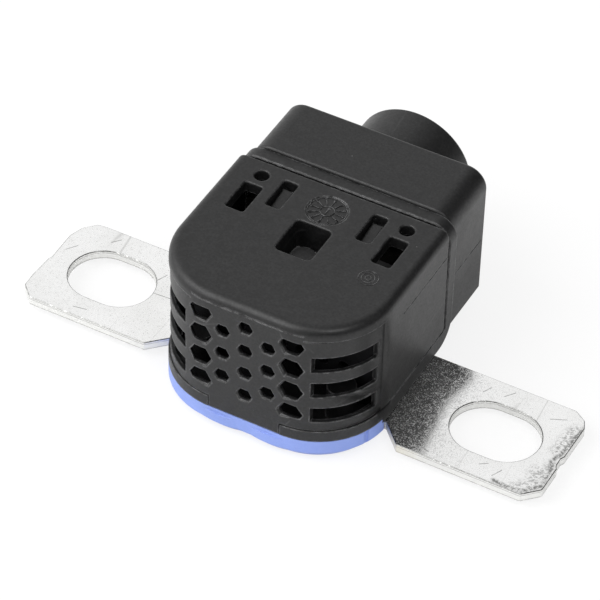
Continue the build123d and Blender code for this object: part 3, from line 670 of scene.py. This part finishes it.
class Wardrobe:
    """Every finish as a material, by the name of its slot."""

    def __init__(self) -> None:
        """Build the shared effects and each finish."""
        shop = EffectShop()
        self.materials = {finish.slot: finish.build(shop) for finish in FINISHES}


@dataclass
class CarriedNodes:
    """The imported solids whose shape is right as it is: they only get their finish."""

    frame: dict[str, Any]
    wardrobe: Wardrobe
    made_elsewhere: tuple[str, ...] = (
        "busbar", "base_screws", "contact_pins", "igniter_seal", "piston_seal",
    )

    def build(self) -> None:
        """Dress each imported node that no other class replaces."""
        for part in self.frame["record"]["subparts"]:
            name = part["node"]
            if name in self.made_elsewhere:
                continue
            node = self.frame["nodes"][name]
            for slot in node.material_slots:
                slot.material = self.wardrobe.materials[part["material_slot"]]
            LOG.info("dressed %s in %s", name, part["material_slot"])


class GrowthTree(Wiring):
    """A Geometry Nodes tree with named inputs, which ends in real faces and one finish."""

    def __init__(self, name: str, numbers: dict[str, float]) -> None:
        """Make the tree with its geometry, finish and number inputs.

        Args:
            name: The tree's name.
            numbers: The number inputs by name, in millimetres.
        """
        super().__init__(bpy.data.node_groups.new(name, "GeometryNodeTree"))
        self.numbers = {label: value * MM for label, value in numbers.items()}
        face = self.tree.interface
        face.new_socket("Geometry", in_out="INPUT", socket_type="NodeSocketGeometry")
        face.new_socket("Finish", in_out="INPUT", socket_type="NodeSocketMaterial")
        add_numbers(self.tree, self.numbers)
        face.new_socket("Geometry", in_out="OUTPUT", socket_type="NodeSocketGeometry")
        self.given = self.add("NodeGroupInput").outputs

    def join(self, shapes: Sequence[Socket]) -> Socket:
        """Gather several shapes into one."""
        node = self.add("GeometryNodeJoinGeometry")
        for shape in shapes:
            self.put(node.inputs[0], shape)
        return node.outputs[0]

    def shift(self, shape: Socket, x: Feed = 0.0, y: Feed = 0.0, z: Feed = 0.0) -> Socket:
        """Move a shape."""
        fed = {"Geometry": shape, "Translation": self.triple(x, y, z)}
        return self.form("GeometryNodeTransform", fed)

    def triple(self, x: Feed, y: Feed, z: Feed) -> Socket:
        """Three numbers as one vector."""
        return self.form("ShaderNodeCombineXYZ", {"X": x, "Y": y, "Z": z})

    def block(self, x: Feed, y: Feed, z: Feed) -> Socket:
        """A box of the given size about its middle."""
        return self.form("GeometryNodeMeshCube", {"Size": self.triple(x, y, z)})

    def solids(self, operation: str, *fed: tuple[str, Socket]) -> Socket:
        """Unite solids, or cut one out of another."""
        result = self.form("GeometryNodeMeshBoolean", {}, operation=operation, solver="EXACT")
        for label, shape in fed:
            self.put(result.node.inputs[label], shape)
        return result

    def sweep(self, path: Socket, section: Socket) -> Socket:
        """Carry a section along a path and close its ends."""
        fed = {"Curve": path, "Profile Curve": section, "Fill Caps": True}
        return self.form("GeometryNodeCurveToMesh", fed)

    def loop(self, radius: Feed, steps: int) -> Socket:
        """A closed round curve."""
        fed = {"Radius": radius, "Resolution": steps}
        return self.form("GeometryNodeCurvePrimitiveCircle", fed)

    def spread(self, points: Socket, shape: Socket, outward: bool = False) -> Socket:
        """Set a shape on each point.

        Args:
            points: Where the copies go.
            shape: What is copied.
            outward: Whether each copy's X axis points away from the middle.

        Returns:
            The copies.
        """
        fed: dict[str, Feed] = {"Points": points, "Instance": shape}
        if outward:
            away = {"Vector": self.add("GeometryNodeInputPosition").outputs[0]}
            fed["Rotation"] = self.form("FunctionNodeAlignRotationToVector", away, axis="X")
        return self.form("GeometryNodeInstanceOnPoints", fed)

    def close(self, shapes: Sequence[Socket]) -> GrowthTree:
        """End the tree: the shapes on each point, as real faces with the given finish."""
        placed = self.spread(self.given["Geometry"], self.join(shapes))
        solid = self.form("GeometryNodeRealizeInstances", {"Geometry": placed})
        fed = {"Geometry": solid, "Material": self.given["Finish"]}
        self.put(self.add("NodeGroupOutput").inputs[0], self.form("GeometryNodeSetMaterial", fed))
        return self


@dataclass
class Bench:
    """Where loose meshes become finished pieces of the object."""

    wardrobe: Wardrobe
    sharp_angle: float = math.radians(34.0)

    def settle(self, name: str, mesh: Mesh, slot: str, replaced: Sequence[str] = ()) -> Thing:
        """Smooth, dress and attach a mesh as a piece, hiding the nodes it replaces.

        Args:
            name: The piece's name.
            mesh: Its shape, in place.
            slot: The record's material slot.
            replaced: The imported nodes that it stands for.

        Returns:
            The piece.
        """
        mesh.name = name
        piece = linked(name, mesh)
        mesh.shade_smooth()
        mesh.set_sharp_from_angle(angle=self.sharp_angle)
        mesh.materials.clear()
        mesh.materials.append(self.wardrobe.materials[slot])
        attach(piece, ROOT)
        if replaced:
            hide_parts(*replaced)
        LOG.info("built %s with %d faces", piece.name, len(mesh.polygons))
        return piece

    def cast(self, name: str, shape: Shape, slot: str, replaced: Sequence[str] = ()) -> Thing:
        """Turn a shape into a finished piece; the arguments are those of settle."""
        mesh = bpy.data.meshes.new(name)
        bmesh.ops.triangulate(shape, faces=[face for face in shape.faces if len(face.verts) > 4])
        shape.to_mesh(mesh)
        shape.free()
        return self.settle(name, mesh, slot, replaced)

    def grow(
        self, name: str, tree: GrowthTree, slot: str, spots: Sequence[Corner],
        replaced: Sequence[str] = (),
    ) -> Thing:
        """Run a Geometry Nodes tree on some points and keep its result as a plain piece.

        Args:
            name: The piece's name.
            tree: The tree.
            slot: The record's material slot.
            spots: The points that the tree starts from, in metres.
            replaced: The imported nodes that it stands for.

        Returns:
            The piece, with no modifier left.
        """
        mesh = bpy.data.meshes.new(name + "_points")
        mesh.from_pydata(list(spots), [], [])
        seed = linked(name + "_points", mesh)
        growth = seed.modifiers.new("growth", "NODES")
        growth.node_group = tree.tree
        sockets = tree.tree.interface.items_tree
        keys = {item.name: item.identifier for item in sockets if item.in_out == "INPUT"}
        growth[keys["Finish"]] = self.wardrobe.materials[slot]
        for label, value in tree.numbers.items():
            growth[keys[label]] = value
        return self.settle(name, frozen(seed), slot, replaced)


@dataclass
class TinnedBar:
    """The busbar: two sheared tabs with softly broken edges, and the hidden web between them.

    Sizes are in millimetres; a corner is its X, its Y and its radius.
    """

    bench: Bench
    thick: float = 1.6
    edge: float = 0.13
    web_half: float = 17.0
    slot_x: float = 33.6
    slot_length: float = 14.4
    slot_width: float = 11.2
    level: float = 0.999
    right: tuple[Corner, ...] = (
        (16.5, 10.0, 0.0), (42.3, 10.0, 1.0), (44.3, 8.7, 0.7), (45.0, 7.2, 0.7), (44.95, 0.3, 0.2),
        (44.62, -0.35, 0.25), (44.66, -1.9, 0.25), (45.0, -2.5, 0.2), (45.0, -7.5, 0.6),
        (42.5, -10.0, 0.6), (21.9, -10.0, 0.4), (18.5, -6.6, 0.3), (16.5, -6.6, 0.0),
    )
    left: tuple[Corner, ...] = (
        (-16.5, 10.0, 0.0), (-16.5, -6.6, 0.0), (-18.5, -6.6, 0.3), (-21.9, -10.0, 0.4),
        (-42.6, -10.0, 0.6), (-44.75, -7.9, 0.6), (-44.9, -5.2, 0.5), (-44.7, -0.9, 0.3),
        (-44.45, -0.3, 0.2), (-44.6, 5.4, 0.7), (-43.8, 7.9, 0.9), (-42.0, 9.8, 0.9),
        (-40.5, 10.0, 0.3),
    )

    @staticmethod
    def rounded(corners: Sequence[Corner], steps: int = 5) -> list[Point]:
        """A closed outline with its corners rounded.

        Args:
            corners: X, Y and radius of each corner, in millimetres.
            steps: Points along each rounded corner.

        Returns:
            The outline's points.
        """
        points: list[Point] = []
        for index, (x, y, radius) in enumerate(corners):
            here = Vector((x, y))
            if radius == 0.0:
                points.append((x, y))
                continue
            before = Vector(corners[index - 1][:2]) - here
            after = Vector(corners[(index + 1) % len(corners)][:2]) - here
            half = before.angle(after) / 2.0
            reach = min(radius / math.tan(half), 0.45 * before.length, 0.45 * after.length)
            first, last = here + before.normalized() * reach, here + after.normalized() * reach
            for step in range(steps + 1):
                share = step / steps
                curve = first * (1 - share) ** 2 + here * 2 * share * (1 - share) + last * share**2
                points.append((curve.x, curve.y))
        return points

    def slot_points(self, side: int, steps: int = 20) -> list[Point]:
        """The outline of the bolt slot in one tab."""
        radius = self.slot_width / 2.0
        run = self.slot_length / 2.0 - radius
        points: list[Point] = []
        for end in (1, -1):
            for step in range(steps + 1):
                turn = math.pi * (step / steps - 0.5) + (0.0 if end == 1 else math.pi)
                x = side * self.slot_x + end * run + radius * math.cos(turn)
                points.append((x, radius * math.sin(turn)))
        return points

    def tab(self, side: int) -> Shape:
        """One tab with its slot and broken edges, made from a filled flat curve."""
        data = bpy.data.curves.new("tab", "CURVE")
        data.dimensions = "2D"
        data.fill_mode = "BOTH"
        data.extrude = (self.thick / 2.0 - self.edge) * MM
        data.bevel_depth = self.edge * MM
        data.bevel_resolution = 2
        data.offset = -self.edge * MM
        outer = self.rounded(self.right if side > 0 else self.left)
        for outline in (outer, self.slot_points(side)):
            spline = data.splines.new("POLY")
            spline.points.add(len(outline) - 1)
            for point, (x, y) in zip(spline.points, outline):
                point.co = (x * MM, y * MM, 0.0, 1.0)
            spline.use_cyclic_u = True
        mesh = frozen(linked("tab", data))
        shape = bmesh.new()
        shape.from_mesh(mesh)
        bpy.data.meshes.remove(mesh)
        bmesh.ops.translate(shape, vec=(0.0, 0.0, self.thick / 2.0 * MM), verts=shape.verts)
        bmesh.ops.remove_doubles(shape, verts=shape.verts, dist=0.002 * MM)
        return shape

    def web(self, node: Thing) -> Shape:
        """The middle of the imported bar, cut off inside the housing and closed."""
        shape = bmesh.new()
        shape.from_mesh(node.data)
        bmesh.ops.remove_doubles(shape, verts=shape.verts, dist=0.001 * MM)
        for side in (1, -1):
            cut = bmesh.ops.bisect_plane(
                shape, geom=shape.verts[:] + shape.edges[:] + shape.faces[:],
                plane_co=(side * self.web_half * MM, 0.0, 0.0), plane_no=(float(side), 0.0, 0.0),
                clear_outer=True,
            )
            rim = [item for item in cut["geom_cut"] if isinstance(item, bmesh.types.BMEdge)]
            bmesh.ops.holes_fill(shape, edges=rim, sides=0)
        return shape

    def build(self, frame: dict[str, Any]) -> None:
        """Join both tabs to the web and put the bar in place."""
        whole = joined((self.web(frame["nodes"]["busbar"]), self.tab(1), self.tab(-1)))
        bmesh.ops.recalc_face_normals(whole, faces=whole.faces)
        self.keep_flat(self.bench.cast("tinned_bar", whole, "tinned_copper", ("busbar",)).data)

    def keep_flat(self, mesh: Mesh) -> None:
        """Shade level faces apart from the broken edges, so that the plate mirrors as a plane."""
        shape = bmesh.new()
        shape.from_mesh(mesh)
        for edge in shape.edges:
            level = [abs(face.normal.z) > self.level for face in edge.link_faces]
            if any(level) and not all(level):
                edge.smooth = False
        shape.to_mesh(mesh)
        shape.free()


@dataclass
class MouldMarks:
    """The plain marks that the mould leaves on the cover: a date dial and a round ejector mark.

    Sizes are in millimetres.
    """

    bench: Bench
    lid_z: float = 25.2
    dial_y: float = 7.5
    dial_radius: float = 3.05
    dial_line: float = 0.075
    dial_height: float = 0.16
    dial_sink: float = 0.15
    dial_stand: float = 0.03
    ejector: tuple[float, float] = (12.3, -2.6)
    ejector_radius: float = 1.55
    ejector_line: float = 0.07

    def dial(self) -> GrowthTree:
        """The dial: two rings, a tick and a stud for each month, and a plain pointer."""
        tree = GrowthTree("mould dial", {
            "Radius": self.dial_radius, "Line": self.dial_line, "Height": self.dial_height,
        })
        radius, line, height = (tree.given[name] for name in tree.numbers)
        wire = tree.loop(line, 8)
        shapes = [
            tree.sweep(tree.loop(radius, 64), wire),
            tree.sweep(tree.loop(tree.times(radius, 0.36), 40), wire),
        ]
        for share, length, width in ((0.69, 0.5, 1.7), (0.86, 0.13, 4.5)):
            fed = {"Vertices": 12, "Radius": tree.times(radius, share)}
            spots = tree.form("GeometryNodeMeshCircle", fed)
            mark = tree.block(tree.times(radius, length), tree.times(line, width), height)
            shapes.append(tree.spread(spots, mark, outward=True))
        stem = tree.block(tree.times(line, 2.2), tree.times(radius, 0.5), height)
        tip = tree.form("GeometryNodeMeshCone", {
            "Vertices": 3, "Radius Top": 0.0, "Radius Bottom": tree.times(radius, 0.16),
            "Depth": height,
        })
        tip = tree.shift(tip, y=tree.times(radius, 0.2), z=tree.times(height, -0.5))
        return tree.close([*shapes, stem, tip])

    def ejector_mark(self) -> GrowthTree:
        """The ejector mark: two low rings round a small stub."""
        sizes = {"Radius": self.ejector_radius, "Line": self.ejector_line}
        tree = GrowthTree("ejector mark", sizes)
        radius, line = (tree.given[name] for name in tree.numbers)
        return tree.close([
            tree.sweep(tree.loop(tree.times(radius, share), 40), tree.loop(line, 8))
            for share in (1.0, 0.66, 0.3)
        ])

    def build(self) -> None:
        """Set both marks into the lid."""
        dial_z = self.lid_z - self.dial_sink + self.dial_stand
        for name, tree, spot in (
            ("date_dial", self.dial(), (0.0, self.dial_y, dial_z)),
            ("ejector_mark", self.ejector_mark(), (*self.ejector, self.lid_z)),
        ):
            self.bench.grow(name, tree, "black_plastic", [tuple(value * MM for value in spot)])


@dataclass
class BaseScrews:
    """The four thread-forming screws that hold the base, heads down in their wells.

    Sizes are in millimetres.
    """

    bench: Bench
    head_radius: float = 2.2
    head_height: float = 1.3
    core_radius: float = 1.02
    thread: float = 0.2
    length: float = 7.6
    pitch: float = 0.95
    drive_radius: float = 0.95
    drive_depth: float = 0.8

    def tree(self) -> GrowthTree:
        """One screw with its pan head, hexagon drive, core and thread, set on each point."""
        names = [field.name for field in fields(self) if field.name != "bench"]
        sizes = {name.replace("_", " ").title(): getattr(self, name) for name in names}
        tree = GrowthTree("base screw", sizes)
        wide, high, thin, thread, length, pitch, across, deep = (
            tree.given[name] for name in tree.numbers
        )
        bottom = tree.times(high, -1.0)
        rim = tree.times(high, 0.62)
        crown = tree.form("GeometryNodeMeshCone", {
            "Vertices": 48, "Radius Bottom": tree.times(wide, 0.8), "Radius Top": wide,
            "Depth": tree.minus(high, rim),
        })
        band = tree.form("GeometryNodeMeshCylinder", {"Vertices": 48, "Radius": wide, "Depth": rim})
        drive = tree.form("GeometryNodeMeshCylinder", {
            "Vertices": 6, "Radius": across, "Depth": tree.times(deep, 2.0),
        })
        pan = tree.solids(
            "UNION", ("Mesh 2", tree.shift(crown, z=bottom)),
            ("Mesh 2", tree.shift(band, z=tree.times(rim, -0.5))),
        )
        head = tree.solids("DIFFERENCE", ("Mesh 1", pan), ("Mesh 2", tree.shift(drive, z=bottom)))
        line = tree.form("GeometryNodeCurvePrimitiveLine", {
            "Start": (0.0, 0.0, 0.0), "End": tree.triple(0.0, 0.0, length),
        })
        core = tree.sweep(line, tree.loop(thin, 24))
        helix = tree.form("GeometryNodeCurveSpiral", {
            "Resolution": 20, "Rotations": tree.minus(tree.math("DIVIDE", length, pitch), 1.2),
            "Start Radius": thin, "End Radius": thin, "Height": tree.times(length, 0.84),
        })
        ridge = tree.sweep(tree.shift(helix, z=tree.times(length, 0.1)), tree.loop(thread, 5))
        return tree.close([head, core, ridge])

    def build(self) -> None:
        """Put a screw in each of the four wells."""
        low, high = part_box("base_screws")
        inset = self.head_radius * MM
        seat = low[2] + self.head_height * MM
        columns, rows = ((low[axis] + inset, high[axis] - inset) for axis in (0, 1))
        spots = [(x, y, seat) for x in columns for y in rows]
        self.bench.grow("clamp_screws", self.tree(), "zinc_steel", spots, ("base_screws",))


@dataclass
class TurnedPieces:
    """Pieces turned round lines along Y: the pins with round tips, and the two seals.

    Lengths are in millimetres; the others are shares of a radius or of the tip.
    """

    bench: Bench
    axis_z: float = 12.8
    pin_steps: int = 20
    pin_root: float = 0.9
    pin_break: float = 0.1
    pin_tip: float = 0.45
    tip_steps: int = 6
    tip_reach: float = 2.2
    wire_steps: int = 20
    ring_steps: int = 64
    flash: float = 0.985

    def lathe(self, profile: Sequence[Point], x: float, steps: int, closed: bool) -> Shape:
        """Turn a profile round a line along Y.

        Args:
            profile: Radius and Y of each point, in metres.
            x: The line's place across the object, in metres.
            steps: Faces round the turn.
            closed: Whether the last point joins the first.

        Returns:
            The turned shape.
        """
        shape = bmesh.new()
        turns = [math.tau * step / steps for step in range(steps)]
        rings: list[list[bmesh.types.BMVert]] = []
        for radius, y in profile:
            used = turns if radius else turns[:1]
            rings.append([
                shape.verts.new((
                    x + radius * math.cos(turn), y, self.axis_z * MM + radius * math.sin(turn),
                )) for turn in used
            ])
        pairs = list(zip(rings, rings[1:])) + ([(rings[-1], rings[0])] if closed else [])
        for first, second in pairs:
            for step in range(steps):
                following = (step + 1) % steps
                corners = [first[step % len(first)], first[following % len(first)],
                           second[following % len(second)], second[step % len(second)]]
                shape.faces.new(list(dict.fromkeys(corners)))
        bmesh.ops.recalc_face_normals(shape, faces=shape.faces)
        return shape

    def pins(self) -> None:
        """Two contact pins with rounded tips."""
        low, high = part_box("contact_pins")
        radius = (high[2] - low[2]) / 2.0
        tip = self.tip_reach * self.pin_tip * MM
        profile = [
            (0.0, low[1]), (radius * self.pin_root, low[1]), (radius, low[1] + self.pin_break * MM),
            (radius, high[1] - tip),
        ]
        for step in range(1, self.tip_steps):
            turn = math.pi / 2.0 * step / self.tip_steps
            profile.append((radius * math.cos(turn), high[1] - tip * (1.0 - math.sin(turn))))
        profile.append((0.0, high[1]))
        places = (low[0] + radius, high[0] - radius)
        whole = joined(self.lathe(profile, x, self.pin_steps, False) for x in places)
        self.bench.cast("igniter_pins", whole, "gold_plate", ("contact_pins",))

    def seal(self, node: str, name: str) -> None:
        """An O-ring with the fine flash lines of its mould."""
        low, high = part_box(node)
        wire = (high[1] - low[1]) / 2.0
        middle_y = (low[1] + high[1]) / 2.0
        major = (high[2] - low[2]) / 2.0 - wire
        profile: list[Point] = []
        for step in range(self.wire_steps):
            turn = math.tau * step / self.wire_steps
            reach = wire if step % (self.wire_steps // 2) else wire * self.flash
            profile.append((major + reach * math.cos(turn), middle_y + reach * math.sin(turn)))
        shape = self.lathe(profile, 0.0, self.ring_steps, True)
        self.bench.cast(name, shape, "seal_rubber", (node,))

    def build(self) -> None:
        """Turn the pins and both seals."""
        self.pins()
        self.seal("igniter_seal", "flange_o_ring")
        self.seal("piston_seal", "piston_o_ring")


@dataclass
class Studio:
    """The plain pale studio: camera, soft lamps, world and floor."""

    floor_z: float = -1.6 * MM
    floor_half: float = 1.5
    glow_seen: float = 0.8
    glow_mirrored: float = 0.15
    eye: Corner = (181.1463 * MM, -348.031 * MM, 381.9087 * MM)
    right: Corner = (0.876807, 0.48034, 0.021964)
    up: Corner = (-0.343301, 0.593368, 0.728052)
    lens: float = 213.4875
    sensor: float = 36.0
    nearest: float = 0.01
    ambient: float = 0.62
    mirrored: float = 0.92
    dimmed: float = 0.11
    dim_from: float = -0.25
    dim_to: float = 0.42
    lamps: tuple[tuple[str, Corner, float, float], ...] = (
        ("key", (-0.42, -0.5, 0.75), 0.7, 6.0),
        ("fill", (-0.75, -0.2, 0.5), 0.8, 2.5),
        ("rim", (0.45, -0.33, 0.78), 0.3, 2.2),
    )

    def camera(self) -> None:
        """Set up the camera at the photograph's viewing angle."""
        data = bpy.data.cameras.new("camera")
        data.lens = self.lens
        data.sensor_width = self.sensor
        data.clip_start = self.nearest
        camera = linked("camera", data)
        right, up = Vector(self.right), Vector(self.up)
        turn = Matrix((right, up, right.cross(up))).transposed().to_4x4()
        camera.matrix_world = Matrix.Translation(self.eye) @ turn
        bpy.context.scene.camera = camera

    @staticmethod
    def lamp(name: str, spot: Corner, size: float, power: float) -> None:
        """Hang a soft square lamp that looks at the object.

        Args:
            name: The lamp's name.
            spot: Its place, in metres.
            size: Its side, in metres.
            power: Its power, in watts.
        """
        data = bpy.data.lights.new(name, "AREA")
        data.shape = "SQUARE"
        data.size = size
        data.energy = power
        lamp = linked(name, data)
        lamp.location = spot
        lamp.rotation_euler = (-Vector(spot)).to_track_quat("-Z", "Y").to_euler()

    @staticmethod
    def _rays(net: Wiring) -> tuple[Socket, Socket]:
        """Masks of the rays that see a surface directly and of those that a gloss mirrors."""
        path = net.add("ShaderNodeLightPath").outputs
        return net.top(path["Is Camera Ray"], path["Is Transmission Ray"]), path["Is Glossy Ray"]

    def world(self) -> None:
        """Give the world a soft grey for light and white where the camera sees it.

        What a gloss mirrors of it is pale on the left and dims towards the right.
        """
        world = bpy.data.worlds.new("studio")
        net = Wiring(emptied(world))
        direct, glossy = self._rays(net)
        across = net.part(net.add("ShaderNodeTexCoord").outputs["Generated"], "X")
        mirrored = net.span(across, self.dim_from, self.dim_to, self.mirrored, self.dimmed)
        lift = net.times(net.minus(mirrored, self.ambient), glossy)
        strength = net.top(net.plus(lift, self.ambient), direct)
        fed = {"Color": (1.0, 1.0, 1.0), "Strength": strength}
        background = net.form("ShaderNodeBackground", fed)
        net.put(net.add("ShaderNodeOutputWorld").inputs["Surface"], background)
        bpy.context.scene.world = world

    def floor(self) -> None:
        """Lay the pale floor, which keeps the object's soft shadow."""
        half = self.floor_half
        signs = ((-1, -1), (1, -1), (1, 1), (-1, 1))
        mesh = bpy.data.meshes.new("floor")
        mesh.from_pydata([(x * half, y * half, self.floor_z) for x, y in signs], [], [(0, 1, 2, 3)])
        net = Surface("floor_white")
        matt = net.form("ShaderNodeBsdfDiffuse", {"Color": (0.9, 0.9, 0.9)})
        glow = net.add("ShaderNodeEmission").outputs[0]
        direct, glossy = self._rays(net)
        seen, mirrored = net.times(direct, self.glow_seen), net.times(glossy, self.glow_mirrored)
        mixed = net.form("ShaderNodeMixShader", (net.top(seen, mirrored), matt, glow))
        mesh.materials.append(net.end(mixed))
        linked("floor", mesh)

    def build(self) -> None:
        """Build the whole studio."""
        bpy.context.scene.view_settings.view_transform = "Standard"
        self.camera()
        self.world()
        for lamp in self.lamps:
            self.lamp(*lamp)
        self.floor()
        LOG.info("studio ready")


def main() -> None:
    """Load the frame and build every class in order."""
    logging.basicConfig(level=logging.INFO, format="%(name)s: %(message)s")
    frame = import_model()
    wardrobe = Wardrobe()
    bench = Bench(wardrobe)
    Studio().build()
    CarriedNodes(frame, wardrobe).build()
    TinnedBar(bench).build(frame)
    MouldMarks(bench).build()
    BaseScrews(bench).build()
    TurnedPieces(bench).build()


if __name__ == "__main__":
    main()
